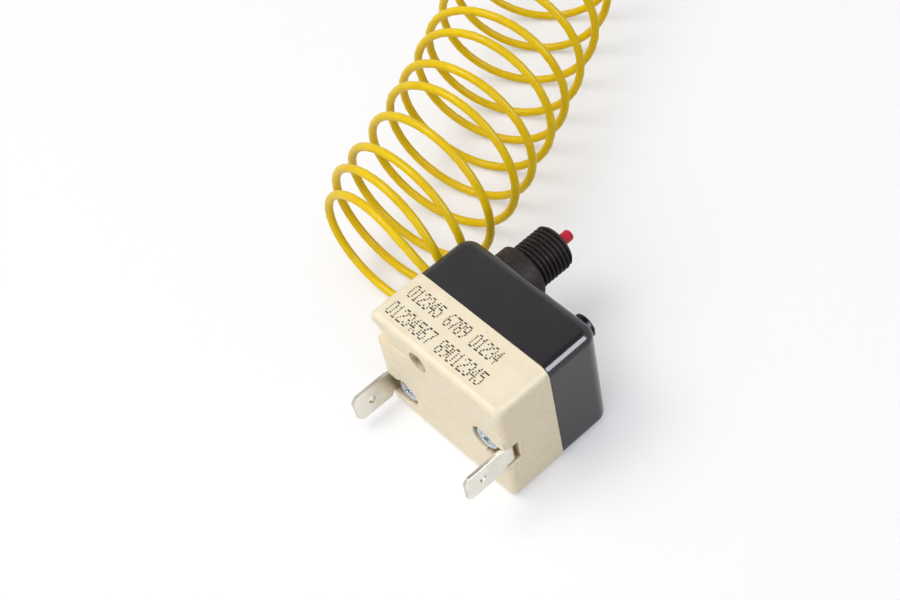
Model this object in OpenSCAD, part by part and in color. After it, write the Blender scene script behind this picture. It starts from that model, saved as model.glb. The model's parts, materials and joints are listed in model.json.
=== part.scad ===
// Capillary safety thermostat with manual reset.
// The housing lies on its long side: X along the housing, Y from the terminals to the reset neck, Z up.
// Inside each module, lengths are measured from the housing's front left bottom corner.

/* [Housing] */
// Length of the housing
body_l = 36; // [34:0.5:44]
// Height of the housing as it lies
body_h = 28; // [27:0.5:34]
// Depth of the pale base moulding
base_d = 12.8; // [12:0.2:16]
// Depth of the dark cap moulding
cap_d = 13; // [12.5:0.1:18]
// Wall of the cap
wall = 2; // [1.6:0.1:2.4]
// Rounding of the four long edges
edge_r = 2.2; // [1:0.1:3]
// Rounding of the cap's upright rear edges
cap_side_r = 3.3; // [3:0.1:4]
// Rounding of the base's front edges
base_front_r = 1.2; // [0.5:0.1:2]
// How far the cap stands back from the base all round
cap_step = 0.15; // [0:0.05:0.4]
// Width of the shadow line between base and cap
gap_w = 0.2; // [0.1:0.05:0.4]

/* [Switch chamber] */
// Thickness of the base behind the front face
base_floor = 6.6; // [6.2:0.1:7]
// Wall round the switch chamber
chamber_wall = 3; // [2.8:0.1:3.4]
// Thickness of the partition between switch and capsule
partition_t = 1.4; // [1:0.1:1.8]
// Thickness of the brass rails
rail_t = 0.8; // [0.6:0.1:1]

/* [Terminals] */
// Width of a terminal tab
tab_w = 6.3; // [4.8:0.1:6.3]
// Thickness of a terminal tab
tab_t = 0.8; // [0.5:0.1:1]
// Reach of the tabs past the front face
tab_reach = 9.5; // [8:0.1:12]
// Depth of a terminal pocket
pocket_d = 3; // [2.8:0.1:3.4]
// Distance of each terminal screw from its end of the housing
screw_in = 6; // [5.6:0.1:6.6]
// Height of the left tab's middle
left_z = 5.5; // [5.2:0.1:6]
// Height of the right tab's middle
right_z = 13.3; // [12.6:0.1:14]
// Height of each terminal screw above the middle of its tab
screw_up = 1.2; // [1:0.1:1.4]
// Distance of each tab's outer face from the end of the housing
tab_in = 0.5; // [0.3:0.1:0.8]
// Lean of the left tab, in degrees
left_lean = 6; // [0:1:8]
// Diameter of the terminal screws' heads
head_d = 6; // [5.6:0.1:6.2]
// Diameter of the terminal screws' shanks
shank_d = 3; // [2.5:0.1:3.2]

/* [Reset neck] */
// Distance of the neck's axis from the left end
neck_x = 8.4; // [8:0.1:9]
// Height of the neck's axis
neck_z = 17; // [16:0.1:18]
// Diameter of the collar
collar_d = 12.2; // [11:0.1:12.6]
// Length of the collar
collar_l = 5.6; // [4:0.1:7]
// Outer diameter of the thread
thread_d = 9.9; // [9:0.1:10]
// Length of the threaded stretch
thread_l = 8.7; // [7:0.1:12]
// Diameter of the reset button
button_d = 2.5; // [2.2:0.1:3]
// Reach of the button past the neck
button_out = 3.8; // [3:0.1:5]
// Travel of the button
button_travel = 2; // [1:0.1:2]

/* [Fixings] */
// Diameter of the cap screws' heads
dome_d = 5.1; // [4.6:0.1:6]
// Height of the cap screws' heads
dome_h = 1.7; // [1.5:0.1:2.2]
// Distance of the upper cap screw from the right end
upper_in = 5.2; // [5:0.1:6]
// Distance of the upper cap screw from the top
upper_down = 4.4; // [4.3:0.1:6]
// Distance of the lower cap screw from the left end
lower_x = 13.5; // [13:0.1:14]
// Height of the lower cap screw
lower_z = 5.2; // [5:0.1:5.4]
// Diameter of the adjuster's blind hole in the front face
adjuster_d = 4.6; // [4:0.1:5]
// Distance of that hole from the left end
adjuster_x = 13.4; // [12.6:0.1:13.6]
// Distance of that hole from the top
adjuster_down = 4.6; // [4.5:0.1:5.5]

/* [Mechanism] */
// Distance of the capsule's axis from the left end
capsule_x = 22.8; // [22.6:0.1:23]
// Height of the capsule's axis
capsule_z = 13.5; // [13:0.1:13.8]
// Diameter of the diaphragm capsule
capsule_d = 15; // [13:0.1:15]
// Distance of the arm's pivot from the left end
pivot_x = 19.8; // [19.6:0.1:20]
// Diameter of the arm's pivot pin
pivot_d = 1.2; // [1:0.1:1.4]
// Diameter of the push pin
push_d = 2.4; // [2:0.1:2.8]
// Radial clearance of parts that run in a hole
run_gap = 0.06; // [0.02:0.01:0.09]

/* [Capillary] */
// Outer diameter of the yellow sleeve
sleeve_d = 1.8; // [1.6:0.1:2]
// Diameter of the bare capillary
bare_d = 1.2; // [1:0.1:1.3]
// Depth at which the capillary enters the cap, from the parting line
entry_in = 2.8; // [2.7:0.1:3.4]
// Distance of that entry from the top
entry_down = 4.5; // [4:0.1:6]
// Outer diameter of the curled stretch
curl_d = 35; // [30:0.5:36]
// Mean diameter of the wound-up rest
coil_d = 22; // [19:0.5:30]
// Diameter of the sensing bulb
bulb_d = 6; // [4:0.5:8]
// Length of the sensing bulb
bulb_l = 76; // [50:1:120]

/* [Hidden] */
$fn = 48;

body_d = base_d + cap_d;
neck_end = body_d + collar_l + thread_l;
button_tip = neck_end + button_out;
centre_y = (button_tip - tab_reach) / 2;

// Small clearances and skins
fit = 0.05;
slack = 0.1;
over = 1;

// Switch chamber, from the front face
rail_top = base_floor + rail_t;
contact_r = 1.6;
contact_h = 0.8;
arm_t = 0.3;
fixed_top = rail_top + contact_h;
arm_low = fixed_top + slack + contact_h;
arm_top = arm_low + arm_t;
pivot_y = arm_low + arm_t / 2;
rivet_h = 0.3;
arm_open = 4.5;
pad_r = 3;
partition_top = base_d + partition_t;

// Capsule chamber
cap_inner = body_d - wall;
capsule_seat = 1.8;
capsule_back = cap_inner - capsule_seat;
capsule_t = 2.4;
capsule_front = capsule_back - capsule_t;
stud_d = 3;

// Cap screws
screw_r = 1.25;
boss_r = 2.6;
screw_end = 9.8;

terminal_head_h = 1.95;
foot_y = pocket_d - tab_t;
head_gap = 0.15;
left_screw_z = left_z + screw_up;
right_screw_z = right_z + screw_up;
// Root of each tab: narrower than the tab, and its middle a little higher
root_w = tab_w - 1.2;
root_up = 0.3;
slot_deeper = 0.45;
slot_in = 2.2;
shank_end = base_floor + rail_t + 1.6;
bend_r = 0.6;

flange_d = 5.2;
flange_h = 1.2;
stem_d = 2;
spring_bore = 6;
neck_wall_end = 1.5;
spigot_d = 10.2;
spigot_t = 1;
flange_y = neck_end - neck_wall_end - slack - flange_h;
open_lift = (pivot_x - neck_x + contact_r) * sin(arm_open);
stem_tip = arm_top + rivet_h + open_lift + button_travel + 0.15;

// Heights and places that are measured from the top, the right end or the parting line
adjuster_z = body_h - adjuster_down;
adjuster_floor = 4;
upper_x = body_l - upper_in;
upper_z = body_h - upper_down;
entry_y = base_d + entry_in;
entry_z = body_h - entry_down;

sleeve_r = sleeve_d / 2;
sleeve_in = wall + 1.4;
curl_r = curl_d / 2;

// Middle line of the curled stretch: an even bow from its start beside the housing to its far end
curl_start = [-curl_r - 1.3, entry_y + 1.7];
curl_end = curl_start + [-43, 90];
curl_pull = curl_start + [-10, 45];
curl_steps = 12;

// Route from the entry to the curl, with its last point beside the top of the curl
lead_points = [[sleeve_in, entry_y, entry_z], [0, entry_y, entry_z], [-2.2, entry_y, entry_z + 0.3],
    [-4.4, entry_y + 0.6, entry_z + 1.7], [-7, entry_y + 2.3, curl_r + 8.9]];

// Route from the end of the curl to the coil, measured from the end of the curl
tail_run = [[0.9, 1.5], [2, 3.8], [2.6, 6.5], [2.8, 9.2], [2.8, 11.8]];
coil_centre = curl_end + [2.8 - coil_d / 2 - sleeve_r, 18.7];
coil_thick = 2 * sleeve_d;
bulb_turn = 34;
bulb_lead = 14;

// Moves from the housing's corner to the part's own origin, under the middle of the object
module place() {
    translate([-body_l / 2, -centre_y, 0]) children();
}

// Extrusions of a flat outline along one axis, from a to b
module along_x(a, b) {
    translate([a, 0, 0]) rotate([90, 0, 90]) linear_extrude(b - a) children();
}
module along_y(a, b) {
    translate([0, b, 0]) rotate([90, 0, 0]) linear_extrude(b - a) children();
}
module along_z(a, b) {
    translate([0, 0, a]) linear_extrude(b - a) children();
}

// Cylinder along Y from a to b, at x and z
module rod_y(x, z, a, b, d) {
    translate([x, b, z]) rotate([90, 0, 0]) cylinder(h = b - a, d = d);
}

// Revolve about Y at x and z: outline points are radius and distance from the front face
module turned_y(x, z, points) {
    translate([x, 0, z]) rotate([-90, 0, 0]) rotate_extrude() polygon(points);
}

// Rectangle with all four corners round, from corner a to corner b
module round_rect(a, b, r) {
    translate([a[0] + r, a[1]]) square([b[0] - a[0] - 2 * r, b[1] - a[1]]);
    translate([a[0], a[1] + r]) square([b[0] - a[0], b[1] - a[1] - 2 * r]);
    for (x = [a[0] + r, b[0] - r])
        for (y = [a[1] + r, b[1] - r])
            translate([x, y]) circle(r);
}

// Rectangle with only its two low corners round
module low_round_rect(w, h, r) {
    translate([r, 0]) square([w - 2 * r, h]);
    translate([0, r]) square([w, h - r]);
    for (x = [r, w - r]) translate([x, r]) circle(r);
}

// Sweep of a round section along points, as one closed skin
function unit(v) = v / norm(v);
function tangent(p, i) = unit(p[min(i + 1, len(p) - 1)] - p[max(i - 1, 0)]);
function side_of(t) = unit(cross(t, abs(t[2]) < 0.9 ? [0, 0, 1] : [1, 0, 0]));
function ring(p, i, r, n) =
    let (t = tangent(p, i), s = side_of(t), u = cross(s, t))
    [for (k = [0:n - 1]) p[i] + r * (s * cos(360 * k / n) + u * sin(360 * k / n))];
module tube(p, r, n) {
    points = [for (i = [0:len(p) - 1]) each ring(p, i, r, n)];
    last = (len(p) - 1) * n;
    skin = [for (i = [0:len(p) - 2]) for (k = [0:n - 1])
        [i * n + k, i * n + (k + 1) % n, (i + 1) * n + (k + 1) % n, (i + 1) * n + k]];
    ends = [[for (k = [n - 1:-1:0]) k], [for (k = [0:n - 1]) last + k]];
    polyhedron(points, concat(skin, ends));
}

// Smooth path through points, with a number of steps between each two
function spline_at(a, b, c, d, t) =
    0.5 * (2 * b + (c - a) * t + (2 * a - 5 * b + 4 * c - d) * t * t + (3 * b - a - 3 * c + d) * t * t * t);
function bow(a, pull, b, s) = (1 - s) * (1 - s) * a + 2 * s * (1 - s) * pull + s * s * b;
function smooth(p, steps) =
    let (n = len(p))
    [for (i = [0:n - 2]) for (k = [0:steps - 1])
        spline_at(p[max(i - 1, 0)], p[i], p[i + 1], p[min(i + 2, n - 1)], k / steps), p[n - 1]];

// What a rounded corner leaves out of a block whose corner points towards +X, +Y and +Z.
// It is round by big_r as seen from above, and by r along its top edge.
module corner_cut(big_r, r) {
    difference() {
        translate([0, 0, -r]) cube([big_r + over, big_r + over, r + over]);
        translate([0, 0, -r]) rotate_extrude() {
            square([big_r - r, r]);
            intersection() {
                translate([big_r - r, 0]) circle(r);
                square([big_r, r]);
            }
        }
        translate([0, 0, -r - over]) cylinder(h = over, r = big_r);
    }
}

// Children at all four long edges of the housing, mirrored so that +X and +Z point outwards
module each_corner() {
    for (side = [0, 1])
        for (top = [0, 1])
            translate([side * body_l, 0, top * body_h])
                mirror([1 - side, 0, 0]) mirror([0, 0, 1 - top]) children();
}

// Openings that both mouldings share
module cap_screw_holes(a, b, d) {
    rod_y(upper_x, upper_z, a, b, d);
    rod_y(lower_x, lower_z, a, b, d);
}

// Pocket of the left terminal, tab at height z: round the screw head, then a slot out through the end
module terminal_pocket(z) {
    slot_h = root_w + 0.3;
    slot_z = z + root_up - slot_h / 2;
    rod_y(screw_in, z + screw_up, -over, pocket_d, head_d + 2 * head_gap);
    translate([-over, -over, slot_z]) cube([screw_in + over, pocket_d + over, slot_h]);
    translate([-over, -over, slot_z]) cube([slot_in + over, pocket_d + slot_deeper + over, slot_h]);
    rod_y(screw_in, z + screw_up, 0, base_floor + over, shank_d + 0.2);
}

// Notch at the left end of the front face: a slope above a ledge, running out before the adjuster's hole
module end_notch() {
    notch_z = 19.4;
    notch_depth = 2.6;
    translate([0, 0, notch_z]) rotate([0, -12, -14]) along_x(-3, 16) polygon([
        [-4, -0.3],
        [-0.6, -0.1],
        [notch_depth - 0.3, 0],
        [notch_depth, 0.15],
        [notch_depth - 0.1, 0.5],
        [1.5, 2.2],
        [0.9, 3.8],
        [0.5, 5.4],
        [-4, 12]
    ]);
}

module base_moulding() {
    color([0.93, 0.88, 0.77]) place() difference() {
        union() {
            difference() {
                intersection() {
                    along_y(0, base_d) round_rect([0, 0], [body_l, body_h], edge_r);
                    along_z(0, body_h) low_round_rect(body_l, body_d, base_front_r);
                    along_x(0, body_l) rotate(90) mirror([0, 1]) low_round_rect(body_h, body_d, base_front_r);
                }
                // Rounded front corners
                each_corner() translate([-edge_r, 0, -edge_r]) rotate([90, 0, 0])
                    corner_cut(edge_r, base_front_r);
                along_y(base_floor, base_d + over)
                    round_rect([chamber_wall, chamber_wall],
                        [body_l - chamber_wall, body_h - chamber_wall], 1);
            }
            rod_y(upper_x, upper_z, base_floor - over, base_d, 2 * boss_r);
            rod_y(lower_x, lower_z, base_floor - over, base_d, 2 * boss_r);
        }
        terminal_pocket(left_z);
        translate([body_l, 0, 0]) mirror([1, 0, 0]) terminal_pocket(right_z);
        end_notch();
        rod_y(adjuster_x, adjuster_z, -over, adjuster_floor, adjuster_d);
        rod_y(adjuster_x, adjuster_z, 0, base_floor + over, shank_d + 2 * fit);
        cap_screw_holes(screw_end - 0.4, base_d + over, 2 * screw_r + 2 * fit);
    }
}

module cap_moulding() {
    stem_hole = stem_d + 2 * run_gap;
    gap_in = cap_step + 0.4;
    color([0.16, 0.16, 0.17]) place() difference() {
        union() {
            difference() {
                intersection() {
                    union() {
                        along_y(base_d + gap_w, body_d)
                            round_rect([cap_step, cap_step], [body_l - cap_step, body_h - cap_step], edge_r);
                        along_y(base_d, base_d + gap_w)
                            round_rect([gap_in, gap_in], [body_l - gap_in, body_h - gap_in], edge_r);
                    }
                    translate([cap_step, body_d, 0]) mirror([0, 1, 0])
                        along_z(0, body_h) low_round_rect(body_l - 2 * cap_step, body_d, cap_side_r);
                    translate([0, body_d, cap_step]) mirror([0, 1, 0])
                        along_x(0, body_l) rotate(90) mirror([0, 1])
                            low_round_rect(body_h - 2 * cap_step, body_d, edge_r);
                }
                // Rounded rear corners
                each_corner() translate([-cap_step - cap_side_r, body_d - cap_side_r, -cap_step])
                    corner_cut(cap_side_r, edge_r);
                along_y(base_d - over, cap_inner)
                    round_rect([wall, wall], [body_l - wall, body_h - wall], 1.4);
            }
            rod_y(upper_x, upper_z, partition_top + slack, cap_inner + over, 2 * boss_r);
            rod_y(lower_x, lower_z, partition_top + slack, cap_inner + over, 2 * boss_r);
            rod_y(capsule_x, capsule_z, capsule_back, cap_inner + over, 8);
        }
        cap_screw_holes(base_d - over, body_d + over, 2 * screw_r + 0.2);
        rod_y(capsule_x, capsule_z, capsule_back - over, body_d - 0.8, stud_d);
        rod_y(neck_x, neck_z, cap_inner - over, body_d + over, stem_hole);
        // Seat of the neck bush's spigot
        difference() {
            rod_y(neck_x, neck_z, body_d - spigot_t, body_d + over, spigot_d + 2 * fit);
            rod_y(neck_x, neck_z, body_d - spigot_t - over, body_d, spring_bore);
        }
        // Slot for the capillary, open towards the base
        along_x(-over, wall + over) {
            translate([entry_y, entry_z]) circle(sleeve_r + 0.1);
            translate([base_d - over, entry_z - sleeve_r - 0.1])
                square([entry_y - base_d + over, sleeve_d + 0.2]);
        }
    }
}

module partition_plate() {
    edge = wall + slack;
    color([0.55, 0.33, 0.2]) place() difference() {
        along_y(base_d, partition_top)
            round_rect([edge, edge], [body_l - edge, body_h - edge], 1.3);
        cap_screw_holes(base_d - over, partition_top + over, 2 * screw_r + 0.4);
        rod_y(neck_x, neck_z, base_d - over, partition_top + over, stem_d + 2 * run_gap);
        rod_y(capsule_x, capsule_z, base_d - over, partition_top + over, push_d + 2 * run_gap);
    }
}

module neck_bush() {
    chamfer = 0.6;
    color([0.19, 0.17, 0.16]) place() turned_y(neck_x, neck_z, [
        [spring_bore / 2, body_d - spigot_t],
        [spigot_d / 2, body_d - spigot_t],
        [spigot_d / 2, body_d],
        [collar_d / 2, body_d],
        [collar_d / 2, body_d + collar_l - 0.5],
        [collar_d / 2 - 0.5, body_d + collar_l],
        [thread_d / 2, body_d + collar_l],
        [thread_d / 2, neck_end - chamfer],
        [thread_d / 2 - chamfer, neck_end],
        [button_d / 2 + run_gap, neck_end],
        [button_d / 2 + run_gap, neck_end - neck_wall_end],
        [spring_bore / 2, neck_end - neck_wall_end]
    ]);
}

module reset_plunger() {
    nose = 0.5;
    color([0.8, 0.1, 0.18]) place() turned_y(neck_x, neck_z, [
        [0, stem_tip],
        [stem_d / 2, stem_tip],
        [stem_d / 2, flange_y],
        [flange_d / 2, flange_y],
        [flange_d / 2, flange_y + flange_h],
        [button_d / 2, flange_y + flange_h],
        [button_d / 2, button_tip - nose],
        [button_d / 2 - 0.2, button_tip - 0.15],
        [button_d / 2 - nose, button_tip],
        [0, button_tip]
    ]);
}

module reset_spring() {
    wire_r = 0.22;
    coil_r = 1.8;
    turns = 9;
    steps = 14;
    first = body_d + wire_r + fit;
    last = flange_y - wire_r - fit;
    path = [for (i = [0:turns * steps])
        [coil_r * cos(360 * i / steps), first + (last - first) * i / (turns * steps),
            coil_r * sin(360 * i / steps)]];
    color([0.75, 0.75, 0.76]) place() translate([neck_x, 0, neck_z]) tube(path, wire_r, 5);
}

// Left terminal with its tab at height z; the tab leans by an angle
module terminal(z, lean) {
    tip = 1;
    hole_in = 4.1;
    root_low = root_up - root_w / 2;
    root_high = root_up + root_w / 2;
    foot_x = tab_in + tab_t + bend_r;
    difference() {
        union() {
            // Foot under the screw, with its round end
            along_y(foot_y, pocket_d) {
                translate([foot_x, z + root_low]) square([screw_in - foot_x, root_w]);
                translate([screw_in, z + screw_up]) circle(head_d / 2);
            }
            // Bend from the foot into the tab
            translate([foot_x, foot_y - bend_r, z + root_low]) bent_quarter(bend_r, tab_t, root_w);
            // Tab, with its narrow root and chamfered tip
            translate([tab_in + tab_t / 2, 0, z]) rotate([0, -lean, 0])
                along_x(-tab_t / 2, tab_t / 2) polygon([
                    [foot_y - bend_r, root_high],
                    [-0.3, root_high],
                    [-0.7, tab_w / 2],
                    [tip - tab_reach, tab_w / 2],
                    [-tab_reach, tab_w / 2 - tip],
                    [-tab_reach, tip - tab_w / 2],
                    [tip - tab_reach, -tab_w / 2],
                    [-1.1, -tab_w / 2],
                    [-0.3, root_low],
                    [foot_y - bend_r, root_low]
                ]);
        }
        rod_y(screw_in, z + screw_up, foot_y - over, pocket_d + over, shank_d + 0.2);
        translate([-over, hole_in - tab_reach, z]) rotate([0, 90, 0]) cylinder(h = 4, d = 1.6);
    }
}

// Quarter bend of a strip, with its inner radius, thickness and width: from a strip along X to one along Y
module bent_quarter(r, t, w) {
    linear_extrude(w) intersection() {
        difference() {
            circle(r + t);
            circle(r);
        }
        translate([-r - t, 0]) square(r + t);
    }
}

module terminal_left() {
    color([0.8, 0.79, 0.76]) place() terminal(left_z, left_lean);
}

module terminal_right() {
    color([0.8, 0.79, 0.76]) place() translate([body_l, 0, 0]) mirror([1, 0, 0]) terminal(right_z, 0);
}

// Pan-head screw with a cross recess, along Y
module terminal_screw(x, z) {
    top = foot_y - terminal_head_h;
    recess = 1.1;
    difference() {
        turned_y(x, z, [
            [0, top],
            [head_d / 2 - 0.9, top],
            [head_d / 2 - 0.35, top + 0.25],
            [head_d / 2, top + 0.8],
            [head_d / 2, foot_y],
            [shank_d / 2 - fit, foot_y],
            [shank_d / 2 - fit, shank_end],
            [0, shank_end]
        ]);
        for (turn = [45, 135])
            translate([x, top, z]) rotate([0, turn, 0])
                cube([3.2, 2 * recess, 0.7], center = true);
    }
}

module terminal_screw_left() {
    color([0.72, 0.74, 0.76]) place() terminal_screw(screw_in, left_screw_z);
}

module terminal_screw_right() {
    color([0.72, 0.74, 0.76]) place() terminal_screw(body_l - screw_in, right_screw_z);
}

module contact_rail() {
    color([0.82, 0.65, 0.32]) place() difference() {
        along_y(base_floor, rail_top) union() {
            translate([screw_in, left_screw_z]) circle(2.8);
            translate([screw_in - 2.8, left_screw_z]) square([5.6, neck_z - left_screw_z]);
            translate([screw_in - 2.8, neck_z - 3]) square([neck_x + 3 - screw_in + 2.8, 6]);
            translate([neck_x - 3, neck_z]) square([6, adjuster_z - neck_z + 1.5]);
            translate([neck_x, adjuster_z - 1.5]) square([adjuster_x - neck_x + 1.5, 3]);
        }
        rod_y(screw_in, left_screw_z, base_floor - over, rail_top + over, shank_d);
        rod_y(neck_x, neck_z, base_floor - over, rail_top + over, 1.6);
    }
}

module arm_rail() {
    ear_t = 0.8;
    ear_gap = 0.3;
    arm_z = capsule_z - pad_r;
    arm_w = 2 * pad_r;
    ear_top = pivot_y + 1.4;
    color([0.82, 0.65, 0.32]) place() difference() {
        union() {
            along_y(base_floor, rail_top) {
                translate([body_l - screw_in, right_screw_z]) circle(2.8);
                translate([pivot_x - 1.5, arm_z - ear_gap - ear_t])
                    square([body_l - screw_in - pivot_x + 1.5, arm_w + 2 * ear_gap + 2 * ear_t]);
            }
            for (z = [arm_z - ear_gap - ear_t, arm_z + arm_w + ear_gap])
                along_z(z, z + ear_t) {
                    translate([pivot_x - 1.5, base_floor]) square([3, pivot_y - base_floor]);
                    translate([pivot_x, pivot_y]) circle(1.5);
                }
        }
        rod_y(body_l - screw_in, right_screw_z, base_floor - over, rail_top + over, shank_d);
        translate([pivot_x, pivot_y, arm_z - 4]) cylinder(h = arm_w + 8, d = pivot_d);
    }
}

module arm_pivot_pin() {
    arm_z = capsule_z - pad_r;
    arm_w = 2 * pad_r;
    color([0.7, 0.71, 0.73]) place() translate([pivot_x, pivot_y, arm_z - 1.4])
        cylinder(h = arm_w + 2.8, d = pivot_d);
}

module fixed_contact() {
    color([0.86, 0.87, 0.88]) place() turned_y(neck_x, neck_z, [
        [0, base_floor],
        [0.8 - fit / 2, base_floor],
        [0.8 - fit / 2, rail_top],
        [contact_r, rail_top],
        [contact_r, fixed_top - 0.2],
        [contact_r - 0.2, fixed_top],
        [0, fixed_top]
    ]);
}

// Switch arm: contact pad at the left, knuckle round the pivot pin, push pad under the pin
module contact_arm() {
    knuckle_r = 1.15;
    arm_z = capsule_z - pad_r;
    arm_w = 2 * pad_r;
    color([0.78, 0.5, 0.3]) place() difference() {
        union() {
            along_y(arm_low, arm_top) {
                translate([neck_x, neck_z]) circle(2.4);
                polygon([[neck_x, neck_z + 2.4], [neck_x, neck_z - 2.4], [pivot_x - 4, arm_z + 0.8],
                    [pivot_x, arm_z], [pivot_x, arm_z + arm_w], [pivot_x - 4, arm_z + arm_w]]);
                translate([pivot_x, arm_z]) square([capsule_x + push_d / 2 + 0.6 - pivot_x, arm_w]);
            }
            translate([pivot_x, pivot_y, arm_z]) cylinder(h = arm_w, r = knuckle_r);
        }
        translate([pivot_x, pivot_y, arm_z - over]) cylinder(h = arm_w + 2 * over, d = pivot_d + 2 * run_gap);
        rod_y(neck_x, neck_z, arm_low - over, arm_top + over, 1.4);
    }
}

module moving_contact() {
    color([0.86, 0.87, 0.88]) place() turned_y(neck_x, neck_z, [
        [0, fixed_top + slack],
        [contact_r - 0.3, fixed_top + slack],
        [contact_r - 0.1, fixed_top + slack + 0.2],
        [contact_r - 0.1, arm_low],
        [0.7 - fit / 2, arm_low],
        [0.7 - fit / 2, arm_top],
        [1.1, arm_top],
        [0.9, arm_top + rivet_h],
        [0, arm_top + rivet_h]
    ]);
}

// Omega-shaped leaf spring that stands on the arm beside the pivot
module snap_spring() {
    leaf = 0.2;
    bow_r = 1.3;
    bow_x = pivot_x - 4.2;
    bow_y = arm_top + 1.2;
    color([0.7, 0.71, 0.73]) place() along_z(capsule_z - 1.5, capsule_z + 1.5) {
        difference() {
            translate([bow_x, bow_y]) circle(bow_r);
            translate([bow_x, bow_y]) circle(bow_r - leaf);
            translate([bow_x - 0.7, arm_top - over]) square([1.4, over + 0.8]);
        }
        for (s = [-1, 1])
            translate([bow_x + s * 0.8 - leaf / 2, arm_top]) square([leaf, 0.35]);
        for (s = [-1, 1])
            translate([bow_x + s * 1.2 - 0.5, arm_top]) square([1, leaf]);
    }
}

module push_pin() {
    color([0.93, 0.93, 0.9]) place() turned_y(capsule_x, capsule_z, [
        [0, arm_top + fit],
        [push_d / 2 - 0.5, arm_top + fit],
        [push_d / 2, arm_top + fit + 0.5],
        [push_d / 2, capsule_front - 0.7],
        [push_d / 2 - 0.3, capsule_front - 0.4],
        [0, capsule_front - 0.4]
    ]);
}

// Two dished discs welded at the rim, with a stud at the back and a small button in front
module diaphragm_capsule() {
    r = capsule_d / 2;
    middle = capsule_back - capsule_t / 2;
    color([0.74, 0.74, 0.72]) place() difference() {
        turned_y(capsule_x, capsule_z, [
            [0, capsule_front - 0.3],
            [1.6, capsule_front - 0.3],
            [2, capsule_front],
            [3, capsule_front + 0.35],
            [3.8, capsule_front + 0.1],
            [4.6, capsule_front + 0.45],
            [5.4, capsule_front + 0.2],
            [6.4, middle - 0.35],
            [r, middle - 0.35],
            [r, middle + 0.35],
            [6.4, middle + 0.35],
            [5.4, capsule_back],
            [stud_d / 2, capsule_back],
            [stud_d / 2, cap_inner + 0.6],
            [0, cap_inner + 0.6]
        ]);
    }
}

module calibration_screw() {
    top = adjuster_floor + 0.5;
    color([0.8, 0.62, 0.3]) place() difference() {
        rod_y(adjuster_x, adjuster_z, top, base_floor, shank_d);
        translate([adjuster_x, top, adjuster_z]) cube([4, 1, 0.6], center = true);
    }
}

// Pan-head screw from the rear of the cap into the base: upright rim, flat dome and a slot
module cap_screw(x, z) {
    r = dome_d / 2;
    rise = 0.7;
    ball_r = (r * r + rise * rise) / (2 * rise);
    steps = 6;
    span = asin(r / ball_r);
    dome = [for (i = [0:steps])
        let (a = span * (1 - i / steps))
        [ball_r * sin(a), body_d + dome_h - ball_r * (1 - cos(a))]];
    difference() {
        turned_y(x, z, concat([[0, screw_end], [screw_r, screw_end], [screw_r, body_d], [r, body_d]], dome));
        translate([x, body_d + dome_h, z]) cube([dome_d + over, 1.6, 1], center = true);
    }
}

module cap_screw_upper() {
    color([0.13, 0.13, 0.14]) place() cap_screw(upper_x, upper_z);
}

module cap_screw_lower() {
    color([0.13, 0.13, 0.14]) place() cap_screw(lower_x, lower_z);
}

// Bare capillary inside the cap, from the sleeve's end to the capsule's rim
module capillary_inner() {
    rim_y = capsule_back - capsule_t / 2;
    rim_x = capsule_x - capsule_d / 2 - bare_d / 2 - fit;
    path = smooth([[sleeve_in + fit, entry_y, entry_z], [rim_x - 6, entry_y + 0.4, entry_z],
        [rim_x - 1.6, rim_y - 3, entry_z - 2], [rim_x, rim_y, capsule_z + 4],
        [rim_x, rim_y, capsule_z]], 4);
    color([0.72, 0.45, 0.3]) place() tube(path, bare_d / 2, 8);
}

// Sleeve from inside the entry slot to the curled stretch
module capillary_lead() {
    color([0.88, 0.74, 0.05]) place() tube(smooth(lead_points, 3), sleeve_r, 8);
}

module capillary_curl() {
    path = [for (k = [0 : curl_steps]) concat(bow(curl_start, curl_pull, curl_end, k / curl_steps), [curl_r])];
    color([0.88, 0.74, 0.05]) place() tube(smooth(path, 2), curl_r, 12);
}

module capillary_tail() {
    path = [for (p = tail_run) [curl_end[0] + p[0], curl_end[1] + p[1], sleeve_r]];
    color([0.88, 0.74, 0.05]) place() tube(smooth(path, 3), sleeve_r, 8);
}

// Wound-up rest of the capillary, with the last stretch that leads to the bulb
module capillary_coil() {
    color([0.88, 0.74, 0.05]) place() translate([coil_centre[0], coil_centre[1], 0]) {
        rotate_extrude() translate([coil_d / 2 - coil_thick / 2, 0]) square([coil_thick, coil_thick]);
        rotate([0, 0, bulb_turn]) translate([0, -coil_d / 2, bulb_d / 2])
            rotate([0, 90, 0]) cylinder(h = bulb_lead, d = sleeve_d);
    }
}

module sensing_bulb() {
    r = bulb_d / 2;
    color([0.75, 0.5, 0.33]) place() translate([coil_centre[0], coil_centre[1], 0])
        rotate([0, 0, bulb_turn]) translate([bulb_lead, -coil_d / 2, r]) rotate([0, 90, 0])
            rotate_extrude() polygon([
                [0, 0],
                [sleeve_r + 0.3, 0],
                [sleeve_r + 0.3, 4],
                [r, 6],
                [r, bulb_l - 1],
                [r - 1, bulb_l],
                [0, bulb_l]
            ]);
}

base_moulding();
cap_moulding();
partition_plate();
neck_bush();
reset_plunger();
reset_spring();
terminal_left();
terminal_right();
terminal_screw_left();
terminal_screw_right();
contact_rail();
arm_rail();
fixed_contact();
contact_arm();
moving_contact();
arm_pivot_pin();
snap_spring();
push_pin();
diaphragm_capsule();
calibration_screw();
cap_screw_upper();
cap_screw_lower();
capillary_inner();
capillary_lead();
capillary_curl();
capillary_tail();
capillary_coil();
sensing_bulb();
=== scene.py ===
# Looks of the capillary safety thermostat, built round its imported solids.
# Lengths in the tables are millimetres from the housing's front left bottom corner:
# X along the housing, Y from the terminals to the reset neck, Z up from the side it lies on.
import json
import math
import bmesh
import bpy
from mathutils import Matrix, Vector


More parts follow.
